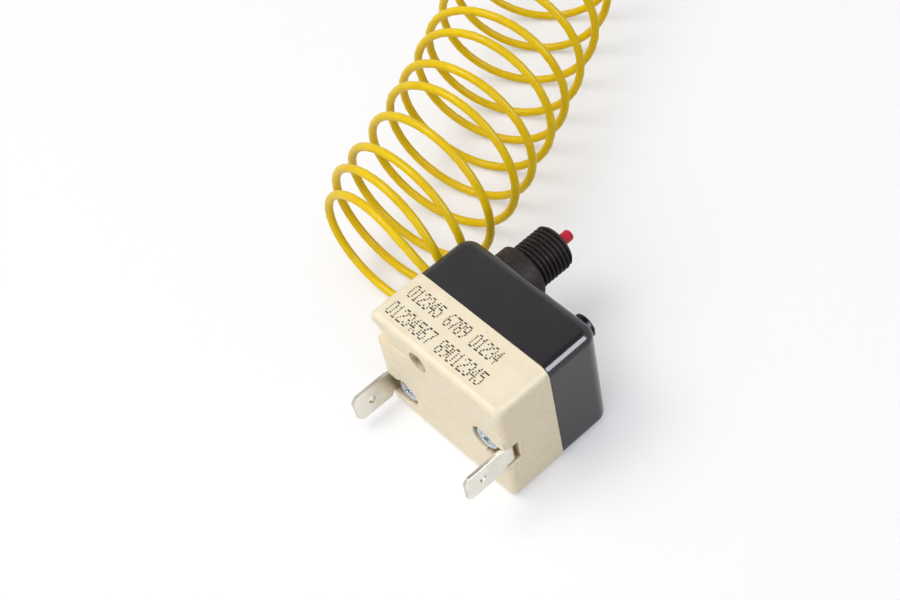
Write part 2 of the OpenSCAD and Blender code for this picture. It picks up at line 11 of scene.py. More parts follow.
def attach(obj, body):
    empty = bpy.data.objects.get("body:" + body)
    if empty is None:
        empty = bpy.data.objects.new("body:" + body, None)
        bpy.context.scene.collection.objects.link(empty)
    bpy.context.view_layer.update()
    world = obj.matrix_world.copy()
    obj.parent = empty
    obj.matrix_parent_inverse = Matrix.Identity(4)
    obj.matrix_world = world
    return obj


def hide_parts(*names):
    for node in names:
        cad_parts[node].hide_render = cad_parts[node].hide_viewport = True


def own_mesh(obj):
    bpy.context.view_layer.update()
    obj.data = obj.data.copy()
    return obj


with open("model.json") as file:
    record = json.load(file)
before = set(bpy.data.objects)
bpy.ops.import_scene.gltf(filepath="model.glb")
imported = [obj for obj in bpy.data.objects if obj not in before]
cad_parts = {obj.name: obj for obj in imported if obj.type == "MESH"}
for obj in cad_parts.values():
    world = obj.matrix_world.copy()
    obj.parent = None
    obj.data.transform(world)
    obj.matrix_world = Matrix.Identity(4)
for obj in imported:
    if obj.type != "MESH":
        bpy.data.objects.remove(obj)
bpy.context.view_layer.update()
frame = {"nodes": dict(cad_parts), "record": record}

MM = 0.001
# That corner in the shared frame.
CORNER = (-18.0, -17.2, 0.0)

BODY_H, BODY_D = 28.0, 25.8
NECK_X, NECK_Z = 8.4, 17.0
NECK_END, THREAD_L, THREAD_R = 40.1, 8.7, 4.95
COLLAR_R, COLLAR_END = 6.1, 31.4
SLEEVE_R = 0.9


def place(x, y, z):
    """A point of the tables, in metres in the shared frame."""
    return Vector(((x + CORNER[0]) * MM, (y + CORNER[1]) * MM, (z + CORNER[2]) * MM))


def linear(hex_colour):
    """sRGB hex to the linear RGBA that shaders take."""
    parts = [int(hex_colour[i:i + 2], 16) / 255 for i in (0, 2, 4)]
    return [c / 12.92 if c <= 0.04045 else ((c + 0.055) / 1.055) ** 2.4 for c in parts] + [1.0]


# Camera: its place, turn and lens were worked out from the housing's edges in the photograph
lens = bpy.data.cameras.new("camera")
lens.sensor_width = 36.0
lens.lens = 65.47
lens.clip_start, lens.clip_end = 0.01, 20.0
camera = bpy.data.objects.new("camera", lens)
camera.location = (0.1583, -0.10447, 0.2636)
camera.rotation_euler = [math.radians(a) for a in (38.5236, 8.9226, 48.0875)]
bpy.context.scene.collection.objects.link(camera)
bpy.context.scene.camera = camera

# Capillary
# The pulled-out curl goes round an even bow over three places, with the gaps between its turns in
# whole millimetres. Its turns lean by the tilt beside the housing and stand square to the bow at the
# far end.
CURL_START, CURL_PULL, CURL_END = (-17.0, 13.5), (-28.0, 62.0), (-64.5, 110.5)
CURL_GAPS = (6, 6, 9, 9, 6, 9, 6, 9, 9, 9, 9, 9)
CURL_RADII = (16.5, 17.5)
CURL_TILT = -0.2
CURL_CLEAR = 0.1
FIRST_OFF = (0.5, 2.0, -3.5)
CURL_TURNS = 11.5
STEPS_PER_TURN = 36
COIL_CENTRE = (-70.9, 126.0)
BULB_TURN = math.radians(34)
BULB_LEAD, COIL_R = 14.0, 11.0
COIL_LAPS = 3 + 284 / 360
# The share of a lap over which the coil's wire changes to its next lap.
CROSSOVER = 1 / 6


def bow(share):
    """A point of the curl's middle line, at a share of its way."""
    weights = ((1 - share) ** 2, 2 * share * (1 - share), share ** 2)
    places = (CURL_START, CURL_PULL, CURL_END)
    return [sum(w * p[i] for w, p in zip(weights, places)) for i in (0, 1)]


def curl_point(turn):
    """A point of the curl, a number of turns after its first top."""
    whole = min(max(math.floor(turn), 0), len(CURL_GAPS) - 1)
    share = (sum(CURL_GAPS[:whole]) + CURL_GAPS[whole] * (turn - whole)) / sum(CURL_GAPS)
    x, y = bow(share)
    nudge = 0.01
    back, ahead = bow(share - nudge), bow(share + nudge)
    step = math.dist(back, ahead)
    ux, uy = (ahead[0] - back[0]) / step, (ahead[1] - back[1]) / step
    radius = CURL_RADII[0] + (CURL_RADII[1] - CURL_RADII[0]) * share
    t = 2 * math.pi * turn
    side = -radius * math.sin(t)
    along = CURL_TILT * (1 - share) * side
    # The first half turn starts off its place, where the lead from the housing meets it.
    off = math.cos(math.pi * min(max(turn, 0), 0.5)) ** 2
    return (x + ux * along + uy * side + off * FIRST_OFF[0],
            y + uy * along - ux * side + off * FIRST_OFF[1],
            radius + SLEEVE_R + CURL_CLEAR + radius * math.cos(t) + off * FIRST_OFF[2])


def ring_point(turns):
    """The neatly wound rest: two turns on the surface, two on top of them."""
    radii = [COIL_R + SLEEVE_R, COIL_R - SLEEVE_R, COIL_R - SLEEVE_R, COIL_R + SLEEVE_R]
    heights = [SLEEVE_R, SLEEVE_R, 3 * SLEEVE_R, 3 * SLEEVE_R]
    lap = min(int(turns), 3)
    share = min(max((turns - lap - 1) / CROSSOVER + 1, 0), 1) if lap < 3 else 0
    ease = share * share * (3 - 2 * share)
    after = min(lap + 1, 3)
    radius = radii[lap] + (radii[after] - radii[lap]) * ease
    height = heights[lap] + (heights[after] - heights[lap]) * ease
    t = 2 * math.pi * turns
    return (COIL_CENTRE[0] + radius * math.cos(t), COIL_CENTRE[1] + radius * math.sin(t), height)


def bulb_point(along, off, height):
    """A point beside the bulb's axis, measured along it from the coil's middle."""
    c, s = math.cos(BULB_TURN), math.sin(BULB_TURN)
    return (COIL_CENTRE[0] + c * along - s * off, COIL_CENTRE[1] + s * along + c * off, height)


def capillary_route():
    """The whole capillary: lead, curl, tail, coil and the lead into the bulb."""
    points = [(3.4, 15.6, 23.5), (1.6, 15.6, 23.5), (0.0, 15.6, 23.5), (-1.4, 15.6, 23.8),
              (-2.8, 15.55, 24.5), (-4.1, 15.45, 25.45), (-5.6, 15.35, 26.6)]
    points += [curl_point(k / STEPS_PER_TURN) for k in range(-3, int(CURL_TURNS * STEPS_PER_TURN) + 1)]
    points += [(-60.1, 107.8, 0.9), (-59.6, 110.2, 0.9), (-59.2, 113.8, 0.9), (-59.0, 117.0, 0.9),
               (-59.0, 120.5, 0.9), (-59.0, 123.5, 0.9)]
    count = int(COIL_LAPS * STEPS_PER_TURN)
    points += [ring_point(COIL_LAPS * k / count) for k in range(count + 1)]
    points += [bulb_point(1.5, -11.75, 2.75), bulb_point(5, -11.45, 2.85), bulb_point(9, -11.1, 2.97),
               bulb_point(13, -11, 3), bulb_point(17, -11, 3), bulb_point(24, -11, 3),
               bulb_point(34, -11, 3)]
    return points


def tube_mesh(name, points, radius, sides):
    """A round tube along points, with its frame carried along so that it never twists."""
    points = [Vector(p) for p in points]
    mesh = bmesh.new()
    side = None
    rings = []
    for i, p in enumerate(points):
        ahead = (points[min(i + 1, len(points) - 1)] - points[max(i - 1, 0)]).normalized()
        if side is None:
            side = ahead.orthogonal().normalized()
        side = (side - ahead * side.dot(ahead)).normalized()
        other = ahead.cross(side)
        rings.append([mesh.verts.new(p + radius * (side * math.cos(a) + other * math.sin(a)))
                      for a in (2 * math.pi * k / sides for k in range(sides))])
    for a, b in zip(rings, rings[1:]):
        for k in range(sides):
            mesh.faces.new((a[k], a[(k + 1) % sides], b[(k + 1) % sides], b[k]))
    mesh.faces.new(list(reversed(rings[0])))
    mesh.faces.new(rings[-1])
    return finished(mesh, name)


def finished(mesh, name, smooth_angle=35):
    """Turns a bmesh into a linked object with smooth faces and sharp edges kept."""
    bmesh.ops.recalc_face_normals(mesh, faces=mesh.faces)
    data = bpy.data.meshes.new(name)
    mesh.to_mesh(data)
    mesh.free()
    made = bpy.data.objects.new(name, data)
    bpy.context.scene.collection.objects.link(made)
    data.shade_smooth()
    data.set_sharp_from_angle(angle=math.radians(smooth_angle))
    return made


route = [place(*p) for p in capillary_route()]
capillary = tube_mesh("capillary", route, SLEEVE_R * MM, 16)

# Materials


def add(tree, kind, inputs=None, **settings):
    """Adds a node; inputs maps socket names or numbers to values or other sockets."""
    node = tree.nodes.new(kind)
    for key, value in settings.items():
        setattr(node, key, value)
    for key, value in (inputs or {}).items():
        socket = node.inputs[key]
        if isinstance(value, bpy.types.NodeSocket):
            tree.links.new(value, socket)
        else:
            socket.default_value = value
    return node


def material(name, hex_colour, roughness, metallic=0.0, ior=None, gloss=0.5):
    """A Principled surface; returns the material, its tree, the shader and object coordinates."""
    made = bpy.data.materials.new(name)
    made.use_nodes = True
    tree = made.node_tree
    shader = tree.nodes["Principled BSDF"]
    shader.inputs["Base Color"].default_value = linear(hex_colour)
    shader.inputs["Roughness"].default_value = roughness
    shader.inputs["Metallic"].default_value = metallic
    shader.inputs["Specular IOR Level"].default_value = gloss
    if ior:
        shader.inputs["IOR"].default_value = ior
    where = add(tree, "ShaderNodeTexCoord").outputs["Object"]
    return made, tree, shader, where


def per_mm(size_mm):
    """Noise scale for features of that size, on coordinates in metres."""
    return 1.0 / (size_mm * MM)


def mottle(tree, shader, where, hex_a, hex_b, size_mm, low=0.35, high=0.65, detail=3.0):
    """Two close colours mixed by soft noise into the base colour."""
    noise = add(tree, "ShaderNodeTexNoise", {"Vector": where, "Scale": per_mm(size_mm), "Detail": detail})
    ramp = add(tree, "ShaderNodeMapRange", {"Value": noise.outputs["Fac"], "From Min": low, "From Max": high})
    mix = add(tree, "ShaderNodeMix", {"Factor": ramp.outputs["Result"], 6: linear(hex_a), 7: linear(hex_b)},
              data_type="RGBA")
    tree.links.new(mix.outputs[2], shader.inputs["Base Color"])


def overlay(tree, shader, mask, hex_colour):
    """Lays a colour over what the surface has so far, as far as the mask goes."""
    under = shader.inputs["Base Color"].links[0].from_socket
    done = add(tree, "ShaderNodeMix", {"Factor": mask, 6: under, 7: linear(hex_colour)}, data_type="RGBA")
    tree.links.new(done.outputs[2], shader.inputs["Base Color"])


def within(tree, where, low, high, soft_mm, amount):
    """A mask that rises over soft_mm inwards from the sides of a box, given by two corners of the tables."""
    low, high = place(*low), place(*high)
    off = add(tree, "ShaderNodeVectorMath", {0: where, 1: (low + high) / 2}, operation="SUBTRACT")
    off = add(tree, "ShaderNodeVectorMath", {0: off.outputs[0]}, operation="ABSOLUTE")
    off = add(tree, "ShaderNodeVectorMath", {0: (high - low) / 2, 1: off.outputs[0]}, operation="SUBTRACT")
    sides = add(tree, "ShaderNodeSeparateXYZ", {0: off.outputs[0]}).outputs
    least = add(tree, "ShaderNodeMath", {0: sides["X"], 1: sides["Y"]}, operation="MINIMUM")
    least = add(tree, "ShaderNodeMath", {0: least.outputs[0], 1: sides["Z"]}, operation="MINIMUM")
    return add(tree, "ShaderNodeMapRange", {"Value": least.outputs[0], "From Max": soft_mm * MM,
                                            "To Max": amount}).outputs["Result"]


def specks(tree, shader, where, hex_speck, apart_mm, radius, amount=0.6):
    """Small uneven spots over the colour, crowded in some places and absent in others."""
    bent = add(tree, "ShaderNodeTexNoise", {"Vector": where, "Scale": per_mm(0.35)})
    moved = add(tree, "ShaderNodeVectorMath", {0: bent.outputs["Color"], 3: 0.25 * MM}, operation="SCALE")
    at = add(tree, "ShaderNodeVectorMath", {0: where, 1: moved.outputs[0]})
    cells = add(tree, "ShaderNodeTexVoronoi", {"Vector": at.outputs[0], "Scale": per_mm(apart_mm)})
    crowd = add(tree, "ShaderNodeTexNoise", {"Vector": where, "Scale": per_mm(5.0)})
    reach = add(tree, "ShaderNodeMapRange", {"Value": crowd.outputs["Fac"], "From Min": 0.46,
                                             "From Max": 0.62, "To Min": 0.0, "To Max": radius})
    spot = add(tree, "ShaderNodeMapRange", {"Value": cells.outputs["Distance"],
                                            "From Min": reach.outputs["Result"], "From Max": 0.0,
                                            "To Min": 0.0, "To Max": amount})
    overlay(tree, shader, spot.outputs["Result"], hex_speck)


def fine_bump(tree, shader, where, size_mm, height_mm, strength=1.0, detail=2.0):
    """A fine relief of the surface, given by the size and height of its grain."""
    noise = add(tree, "ShaderNodeTexNoise", {"Vector": where, "Scale": per_mm(size_mm), "Detail": detail})
    bump = add(tree, "ShaderNodeBump", {"Height": noise.outputs["Fac"], "Distance": height_mm * MM,
                                        "Strength": strength})
    tree.links.new(bump.outputs["Normal"], shader.inputs["Normal"])


def vary_roughness(tree, shader, where, size_mm, low, high):
    """Uneven polish, between two roughnesses."""
    noise = add(tree, "ShaderNodeTexNoise", {"Vector": where, "Scale": per_mm(size_mm), "Detail": 3.0})
    span = add(tree, "ShaderNodeMapRange", {"Value": noise.outputs["Fac"], "From Min": 0.3, "From Max": 0.7,
                                            "To Min": low, "To Max": high})
    tree.links.new(span.outputs["Result"], shader.inputs["Roughness"])


# Pale thermoset moulding: chalky, slightly mottled, with sparse brownish specks of filler in its skin,
# and browner inside the adjuster's hole and the terminal pockets, where the brown is painted shade.
urea, tree, shader, where = material("moulded_urea", "F0E3C8", 0.5, ior=1.5)
mottle(tree, shader, where, "EEDFC2", "F1E5CA", 3.0)
specks(tree, shader, where, "AD9064", 1.2, 0.25, 0.6)
ADJUSTER_HOLE = ((11, 0.1, 21), (15.8, 4.6, 25.8))
RIGHT_POCKET = ((25, 0.1, 9.5), (35.95, 4.6, 18.5))
LEFT_POCKET = ((0.05, 0.1, 2.2), (11, 4.6, 10.6))
# Painted shade: the colour turns brown inwards from the sides of the adjuster's hole and of both terminal
# pockets.
for low, high in (ADJUSTER_HOLE, RIGHT_POCKET, LEFT_POCKET):
    overlay(tree, shader, within(tree, where, low, high, 0.8, 0.72), "6E5230")
fine_bump(tree, shader, where, 0.25, 0.012)
vary_roughness(tree, shader, where, 1.2, 0.42, 0.6)

# Black phenolic moulding: a glossy skin, nearly black, that shows the lamps as crisp bands on its edges.
phenolic, tree, shader, where = material("moulded_phenolic", "1F1D20", 0.14, ior=1.55, gloss=0.46)
mottle(tree, shader, where, "1E1B1F", "242126", 9.0)
specks(tree, shader, where, "5A5658", 3.2, 0.07, 0.5)
fine_bump(tree, shader, where, 0.8, 0.002)
vary_roughness(tree, shader, where, 2.5, 0.1, 0.18)

# Glass-filled nylon of the neck: matt, brownish black, with a fibrous grain and painted shade in the thread's
# grooves.
nylon, tree, shader, where = material("glass_filled_nylon", "302928", 0.5, ior=1.53, gloss=0.14)
mottle(tree, shader, where, "2D2625", "393130", 0.8)
specks(tree, shader, where, "7A736E", 0.9, 0.2, 0.7)
# Painted shade: near black laid into the thread's grooves, inside 4.85 mm of the neck's axis and only along
# the thread.
middle = add(tree, "ShaderNodeVectorMath", {0: where, 1: place(NECK_X, 0, NECK_Z)}, operation="SUBTRACT")
across = add(tree, "ShaderNodeVectorMath", {0: middle.outputs[0], 1: (1, 0, 1)}, operation="MULTIPLY")
radius = add(tree, "ShaderNodeVectorMath", {0: across.outputs[0]}, operation="LENGTH")
low_down = add(tree, "ShaderNodeMapRange", {"Value": radius.outputs["Value"], "From Min": 4.85 * MM,
                                            "From Max": 4.5 * MM})
along_thread = within(tree, where, (0, 31.45, 9), (17, 39.9, 25), 0.1, 0.85)
grooves = add(tree, "ShaderNodeMath", {0: low_down.outputs["Result"], 1: along_thread}, operation="MULTIPLY")
overlay(tree, shader, grooves.outputs[0], "0D0B0A")
fine_bump(tree, shader, where, 0.18, 0.02)
vary_roughness(tree, shader, where, 0.6, 0.45, 0.65)

# Red acetal of the reset button: smooth and evenly coloured.
acetal, tree, shader, where = material("moulded_acetal", "CE1C33", 0.3, ior=1.48, gloss=0.22)
mottle(tree, shader, where, "C4172E", "D62640", 1.0)
fine_bump(tree, shader, where, 0.3, 0.006)

# Soft vinyl sleeve: deep yellow with an oily sheen and faint waviness from being drawn on.
vinyl, tree, shader, where = material("vinyl_sleeve", "E8C502", 0.34, ior=1.42, gloss=0.24)
mottle(tree, shader, where, "E5C000", "ECC904", 4.0)
fine_bump(tree, shader, where, 1.4, 0.03)
vary_roughness(tree, shader, where, 2.0, 0.3, 0.38)


def metal(name, hex_a, hex_b, low, high, grain_mm, along=(1, 1, 1), height_mm=0.004, patch_mm=2.0):
    """A worked metal: two close tones, uneven polish and a grain that may be drawn out along an axis."""
    made, tree, shader, where = material(name, hex_a, (low + high) / 2, 1.0)
    mottle(tree, shader, where, hex_a, hex_b, patch_mm)
    vary_roughness(tree, shader, where, patch_mm / 2, low, high)
    stretched = add(tree, "ShaderNodeMapping", {"Vector": where, "Scale": along})
    fine_bump(tree, shader, stretched.outputs["Vector"], grain_mm, height_mm)
    return made


def cut_edges_and_painted_reflection(made):
    """The stamped tabs: darker bare steel on the cut edges, and a painted warm reflection of the shaded
    moulding near the left tab's root.
    """
    tree = made.node_tree
    shader = tree.nodes["Principled BSDF"]
    coords = add(tree, "ShaderNodeTexCoord").outputs
    facing = add(tree, "ShaderNodeSeparateXYZ", {0: coords["Normal"]}).outputs["X"]
    broad = add(tree, "ShaderNodeMath", {0: facing}, operation="ABSOLUTE")
    cut = add(tree, "ShaderNodeMapRange", {"Value": broad.outputs[0], "From Min": 0.75, "From Max": 0.45,
                                           "To Min": 0.0, "To Max": 0.4})
    out_of_foot = within(tree, coords["Object"], (-3, -12, 0), (39, -1.4, 28), 0.3, 1.0)
    edge = add(tree, "ShaderNodeMath", {0: cut.outputs["Result"], 1: out_of_foot}, operation="MULTIPLY")
    # Painted reflection: a warm brown near the left tab's root stands for the shaded moulding mirrored in it.
    overlay(tree, shader, within(tree, coords["Object"], (-3, -6.6, 0), (4, 5, 12), 4.5, 0.55), "98845F")
    overlay(tree, shader, edge.outputs[0], "857F73")


nickel = metal("nickel_plated_steel", "E9E6DC", "DFDCD1", 0.26, 0.36, 0.12, (1, 0.12, 1), 0.002, 4.0)
cut_edges_and_painted_reflection(nickel)
zinc = metal("zinc_plated_steel", "C9D0D6", "A6B2BC", 0.14, 0.26, 0.15)
blackened = metal("blackened_steel", "2A2A2D", "1F1F22", 0.2, 0.34, 0.3)
brass = metal("rolled_brass", "D6B067", "C79F57", 0.25, 0.4, 0.15, (0.15, 1, 1))
silver = metal("contact_silver_alloy", "E4E5E6", "D4D5D6", 0.15, 0.3, 0.2)
bronze = metal("phosphor_bronze", "C98F5E", "B97F50", 0.28, 0.42, 0.12, (0.15, 1, 1))
spring_steel = metal("spring_steel", "B9BABD", "A8A9AC", 0.2, 0.35, 0.1)
stainless = metal("pressed_stainless", "C9C8C4", "BAB9B5", 0.25, 0.4, 0.2)
copper = metal("drawn_copper", "C98058", "BC7550", 0.3, 0.42, 0.2, (0.3, 0.3, 1), 0.003, 7.0)

# Unglazed steatite of the push pin: chalk white and dry.
steatite, tree, shader, where = material("unglazed_steatite", "EFEDE6", 0.7, ior=1.6)
mottle(tree, shader, where, "EAE7DE", "F3F1EB", 0.6)
fine_bump(tree, shader, where, 0.1, 0.01)

# Hard paper laminate of the partition: brown, in thin layers, with a waxed face.
laminate, tree, shader, where = material("paper_laminate", "7A4E33", 0.45, ior=1.55)
mottle(tree, shader, where, "6F462D", "855639", 1.5)
fine_bump(tree, shader, where, 0.4, 0.01)

# Black marking ink: matt dots that sit on the moulding.
ink, tree, shader, where = material("marking_ink", "2A2725", 0.6, ior=1.5)
mottle(tree, shader, where, "231F1E", "3A3532", 0.3)

FINISHES = {
    "pale_moulding": urea, "dark_moulding": phenolic, "laminate": laminate, "neck_plastic": nylon,
    "red_plastic": acetal, "spring_steel": spring_steel, "nickel_plate": nickel, "zinc_steel": zinc,
    "brass": brass, "contact_silver": silver, "bronze_leaf": bronze, "steatite": steatite,
    "stainless": stainless, "black_screw": blackened, "copper": copper, "yellow_sleeve": vinyl}
slot_of = {part["node"]: part["material_slot"] for part in frame["record"]["subparts"]}
for node_name, node_object in frame["nodes"].items():
    node_object.data.materials.clear()
    node_object.data.materials.append(FINISHES[slot_of[node_name]])


def dress(made, finish, body, slot_name, *nodes):
    """Gives a new piece its material and body, and hides the nodes it stands for; slot_name is not used."""
    made.data.materials.clear()
    made.data.materials.append(finish)
    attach(made, body)
    if nodes:
        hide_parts(*nodes)
    return made


def softened(node_name, name, edge_mm, segments=2, smooth_angle=40, flats=True):
    """A copy of a solid with its sharp edges rounded, ready to stand for it."""
    mesh = bmesh.new()
    mesh.from_mesh(frame["nodes"][node_name].data)
    bmesh.ops.remove_doubles(mesh, verts=mesh.verts, dist=2e-6)
    bmesh.ops.dissolve_limit(mesh, angle_limit=math.radians(0.5), verts=mesh.verts, edges=mesh.edges)
    data = bpy.data.meshes.new(name)
    mesh.to_mesh(data)
    mesh.free()
    made = bpy.data.objects.new(name, data)
    bpy.context.scene.collection.objects.link(made)
    if edge_mm:
        bevel = made.modifiers.new("edges", "BEVEL")
        bevel.width = edge_mm * MM
        bevel.segments = segments
        bevel.limit_method = "ANGLE"
        bevel.angle_limit = math.radians(smooth_angle)
        bevel.use_clamp_overlap = True
        apply_modifiers(made)
    made.data.shade_smooth()
    made.data.set_sharp_from_angle(angle=math.radians(smooth_angle))
    if not flats:
        return made
    # Flats keep their own direction right up to the rounded edges.
    weighted = made.modifiers.new("flats", "WEIGHTED_NORMAL")
    weighted.mode = "FACE_AREA"
    weighted.weight = 100
    weighted.keep_sharp = True
    return apply_modifiers(made)


def apply_modifiers(made):
    """Turns the modified object into a plain mesh and drops its modifiers."""
    bpy.context.view_layer.update()
    shown = made.evaluated_get(bpy.context.evaluated_depsgraph_get())
    data = bpy.data.meshes.new_from_object(shown)
    made.modifiers.clear()
    made.data = data
    return made


# Threaded neck
def turned(name, x, z, outline, sides=64, smooth_angle=35):
    """A piece revolved about Y at x and z; outline points are radius and distance from the front."""
    mesh = bmesh.new()
    rings = []
    for radius, y in outline:
        if radius < 1e-6:
            rings.append([mesh.verts.new(place(x, y, z))])
        else:
            rings.append([mesh.verts.new(place(x + radius * math.cos(a), y, z + radius * math.sin(a)))
                          for a in (2 * math.pi * k / sides for k in range(sides))])
    for a, b in zip(rings, rings[1:]):
        for k in range(sides):
            quad = [a[k % len(a)], a[(k + 1) % len(a)], b[(k + 1) % len(b)], b[k % len(b)]]
            quad = list(dict.fromkeys(quad))
            if len(quad) > 2:
                mesh.faces.new(quad)
    return finished(mesh, name, smooth_angle)


def thread_tree():
    """Geometry nodes: a tube of rings and sides whose radius rises and falls as one screw ridge."""
    sides, rings = 72, 104
    crest_share, flank_slope = 0.12, 4.2
    end_chamfer = 0.6 * MM
    # Whole pitches added so that the ridge is counted from a positive place everywhere.
    pitches_ahead = 40.0
    tree = bpy.data.node_groups.new("screw_thread", "GeometryNodeTree")
    sockets = tree.interface
    sockets.new_socket("Geometry", in_out="INPUT", socket_type="NodeSocketGeometry")
    for name, value in (("Crest", THREAD_R * MM), ("Depth", 0.55 * MM), ("Pitch", 1.0 * MM),
                        ("Length", THREAD_L * MM), ("Runout", 0.8 * MM)):
        sockets.new_socket(name, in_out="INPUT", socket_type="NodeSocketFloat").default_value = value
    sockets.new_socket("Finish", in_out="INPUT", socket_type="NodeSocketMaterial")
    sockets.new_socket("Geometry", in_out="OUTPUT", socket_type="NodeSocketGeometry")
    given = add(tree, "NodeGroupInput").outputs

    def calc(operation, *values):
        return add(tree, "ShaderNodeMath", dict(enumerate(values)), operation=operation).outputs[0]

    tube = add(tree, "GeometryNodeMeshCylinder",
               {"Vertices": sides, "Side Segments": rings, "Radius": given["Crest"],
                "Depth": given["Length"]},
               fill_type="NGON").outputs["Mesh"]
    at = add(tree, "ShaderNodeSeparateXYZ", {0: add(tree, "GeometryNodeInputPosition").outputs[0]}).outputs
    angle = calc("DIVIDE", calc("ARCTAN2", at["Y"], at["X"]), 2 * math.pi)
    along = calc("DIVIDE", at["Z"], given["Pitch"])
    ridge = calc("PINGPONG", calc("ADD", calc("SUBTRACT", along, angle), pitches_ahead), 0.5)
    off_crest = calc("MAXIMUM", calc("SUBTRACT", ridge, crest_share), 0.0)
    groove = calc("MINIMUM", calc("MULTIPLY", off_crest, flank_slope), 1.0)
    half_length = calc("MULTIPLY", given["Length"], 0.5)
    from_end = calc("SUBTRACT", half_length, calc("ABSOLUTE", at["Z"]))
    fade = calc("MINIMUM", calc("DIVIDE", from_end, given["Runout"]), 1.0)
    depth = calc("MULTIPLY", calc("MULTIPLY", groove, given["Depth"]), fade)
    chamfer_start = calc("SUBTRACT", half_length, end_chamfer)
    chamfer = calc("MAXIMUM", calc("SUBTRACT", at["Z"], chamfer_start), 0.0)
    radius = calc("SUBTRACT", calc("SUBTRACT", given["Crest"], depth), chamfer)
    scale = calc("DIVIDE", radius, given["Crest"])
    moved = add(tree, "ShaderNodeCombineXYZ", {"X": calc("MULTIPLY", at["X"], scale),
                                              "Y": calc("MULTIPLY", at["Y"], scale), "Z": at["Z"]})
    shaped = add(tree, "GeometryNodeSetPosition", {"Geometry": tube, "Position": moved.outputs[0]})
    real = add(tree, "GeometryNodeRealizeInstances", {"Geometry": shaped.outputs[0]})
    done = add(tree, "GeometryNodeSetMaterial", {"Geometry": real.outputs[0], "Material": given["Finish"]})
    add(tree, "NodeGroupOutput", {"Geometry": done.outputs[0]})
    return tree


def socket_id(tree, name):
    """The name that a modifier has for a tree's input."""
    return next(s.identifier for s in tree.interface.items_tree
                if s.item_type == "SOCKET" and s.in_out == "INPUT" and s.name == name)


def grown(name, tree, values, start=None):
    """Runs a geometry tree on an object and keeps the result as a plain mesh."""
    made = bpy.data.objects.new(name, start or bpy.data.meshes.new(name))
    bpy.context.scene.collection.objects.link(made)
    modifier = made.modifiers.new("shape", "NODES")
    modifier.node_group = tree
    for key, value in values.items():
        modifier[socket_id(tree, key)] = value
    return apply_modifiers(made)


thread = grown("neck_thread", thread_tree(), {"Finish": nylon})
stand = place(NECK_X, NECK_END - THREAD_L / 2, NECK_Z)
thread.data.transform(Matrix.Translation(stand) @ Matrix.Rotation(math.radians(-90), 4, "X"))
thread.data.shade_smooth()
thread.data.set_sharp_from_angle(angle=math.radians(50))

SPIGOT_R, STEM_HOLE_R = 5.1, 3.0
collar = turned("neck_collar", NECK_X, NECK_Z, [
    (STEM_HOLE_R, BODY_D - 1.0), (SPIGOT_R, BODY_D - 1.0), (SPIGOT_R, BODY_D), (COLLAR_R, BODY_D),
    (COLLAR_R, COLLAR_END - 0.5), (COLLAR_R - 0.08, COLLAR_END - 0.25),
    (COLLAR_R - 0.25, COLLAR_END - 0.07), (COLLAR_R - 0.5, COLLAR_END), (4.3, COLLAR_END),
    (STEM_HOLE_R, COLLAR_END - 0.1)])

dress(collar, nylon, "housing", "neck_plastic", "neck_bush")
dress(thread, nylon, "housing", "neck_plastic")

# Generic dotted print
DIGITS = {
    "0": ["01110", "10001", "10001", "10001", "10001", "10001", "01110"],
    "1": ["00100", "01100", "00100", "00100", "00100", "00100", "01110"],
    "2": ["01110", "10001", "00001", "00110", "01000", "10000", "11111"],
    "3": ["01110", "10001", "00001", "00110", "00001", "10001", "01110"],
    "4": ["00010", "00110", "01010", "10010", "11111", "00010", "00010"],
    "5": ["11111", "10000", "11110", "00001", "00001", "10001", "01110"],
    "6": ["00110", "01000", "10000", "11110", "10001", "10001", "01110"],
    "7": ["11111", "00001", "00010", "00010", "00100", "00100", "00100"],
    "8": ["01110", "10001", "10001", "01110", "10001", "10001", "01110"],
    "9": ["01110", "10001", "10001", "01111", "00001", "00010", "01100"]}


# Each row: its signs, its two ends along the housing, and its front and rear edge.
PRINT_ROWS = (("012345 6789 01234", 3.0, 27.6, 7.4, 10.3), ("01234567 89012345", 2.7, 28.8, 2.2, 5.2))


def print_dots():
    """Places of the ink dots of two counting rows of digits on the base's upper side."""
    dots = []
    for text, start, end, low, high in PRINT_ROWS:
        cell = (end - start) / len(text)
        for i, sign in enumerate(text):
            for row, line in enumerate(DIGITS.get(sign, [])):
                for column, dot in enumerate(line):
                    if dot == "1":
                        dots.append(place(start + cell * (i + (column + 0.5) / 6),
                                          high - (high - low) * row / 6, BODY_H))
    return dots


def dots_tree():
    """Geometry nodes: one low disc of ink on each point, with a seeded spread of sizes."""
    tree = bpy.data.node_groups.new("ink_dots", "GeometryNodeTree")
    sockets = tree.interface
    sockets.new_socket("Geometry", in_out="INPUT", socket_type="NodeSocketGeometry")
    for name, value in (("Radius", 0.19 * MM), ("Thickness", 0.03 * MM)):
        sockets.new_socket(name, in_out="INPUT", socket_type="NodeSocketFloat").default_value = value
    sockets.new_socket("Finish", in_out="INPUT", socket_type="NodeSocketMaterial")
    sockets.new_socket("Geometry", in_out="OUTPUT", socket_type="NodeSocketGeometry")
    given = add(tree, "NodeGroupInput").outputs
    disc = add(tree, "GeometryNodeMeshCylinder", {"Vertices": 10, "Radius": given["Radius"],
                                                  "Depth": given["Thickness"]})
    size = add(tree, "FunctionNodeRandomValue", {2: 0.8, 3: 1.15, "Seed": 4}, data_type="FLOAT")
    spots = add(tree, "GeometryNodeInstanceOnPoints",
                {"Points": given["Geometry"], "Instance": disc.outputs["Mesh"], "Scale": size.outputs[1]})
    real = add(tree, "GeometryNodeRealizeInstances", {"Geometry": spots.outputs[0]})
    done = add(tree, "GeometryNodeSetMaterial", {"Geometry": real.outputs[0], "Material": given["Finish"]})
    add(tree, "NodeGroupOutput", {"Geometry": done.outputs[0]})
    return tree


dot_places = bpy.data.meshes.new("dot_places")
dot_places.from_pydata(print_dots(), [], [])
dots = grown("dotted_print", dots_tree(), {"Finish": ink}, dot_places)
dress(dots, ink, "housing", "dark_moulding")

